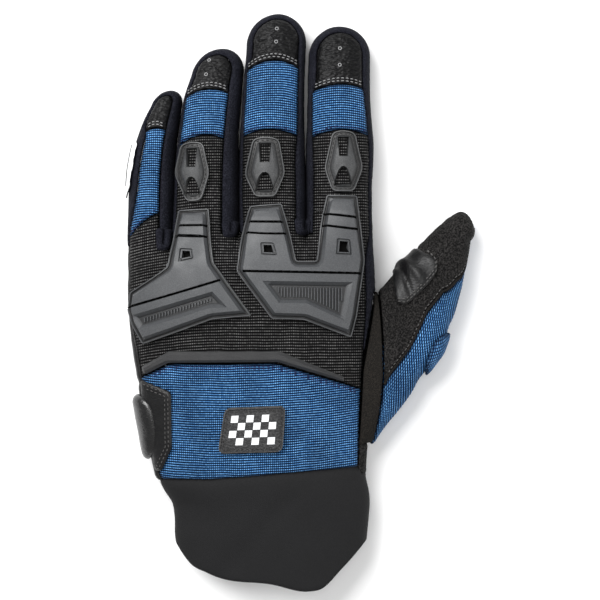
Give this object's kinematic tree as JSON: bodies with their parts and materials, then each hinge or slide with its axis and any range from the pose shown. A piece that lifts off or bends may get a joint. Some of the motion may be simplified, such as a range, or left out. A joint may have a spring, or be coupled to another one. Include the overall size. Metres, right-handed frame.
{
  "type": "motocross glove",
  "caption": "Left motocross glove lying palm down: ribbed cloth back with moulded knuckle and finger guards, leather fingertips, suede palm and an open neoprene cuff.",
  "frame": {"origin": "on the surface that the glove lies on, under the middle of its outline", "axes": "+X towards the thumb side, +Y towards the fingertips, +Z out of the back of the hand"},
  "size_m": [0.1472, 0.2408, 0.0352],
  "materials": {
    "ribbed_black": "ribbed stretch cloth, black",
    "ribbed_blue": "ribbed stretch cloth, blue",
    "leather": "grained black leather",
    "suede": "black synthetic suede",
    "fourchette_cloth": "smooth navy-black stretch cloth",
    "moulded_rubber": "moulded charcoal rubber, matt",
    "neoprene": "matt black neoprene",
    "badge_rubber": "black moulded rubber with white squares",
    "pale_rubber": "smooth white rubber"
  },
  "bodies": {
    "root": {"back_panel": "ribbed_black", "cuff": "neoprene", "heel_pad": "leather", "index_finger_guard": "moulded_rubber", "index_sidewall": "fourchette_cloth", "index_stretch_band": "ribbed_blue", "index_tip_cap": "leather", "inner_knuckle_guard": "moulded_rubber", "little_side_flash": "pale_rubber", "little_sidewall": "fourchette_cloth", "little_stretch_band": "ribbed_blue", "little_tip_cap": "leather", "middle_finger_guard": "moulded_rubber", "middle_sidewall": "fourchette_cloth", "middle_stretch_band": "ribbed_blue", "middle_tip_cap": "leather", "outer_knuckle_guard": "moulded_rubber", "outer_side": "leather", "palm_panel": "suede", "ring_finger_guard": "moulded_rubber", "ring_sidewall": "fourchette_cloth", "ring_stretch_band": "ribbed_blue", "ring_tip_cap": "leather", "thumb_back": "ribbed_blue", "thumb_fold": "ribbed_blue", "thumb_front": "suede", "thumb_gusset": "suede", "thumb_patch": "leather", "thumb_side_strip": "fourchette_cloth", "wrist_badge": "badge_rubber", "wrist_bar": "moulded_rubber", "wrist_panel": "ribbed_blue", "wrist_side": "suede", "wrist_tab": "leather"}
  },
  "joints": []
}
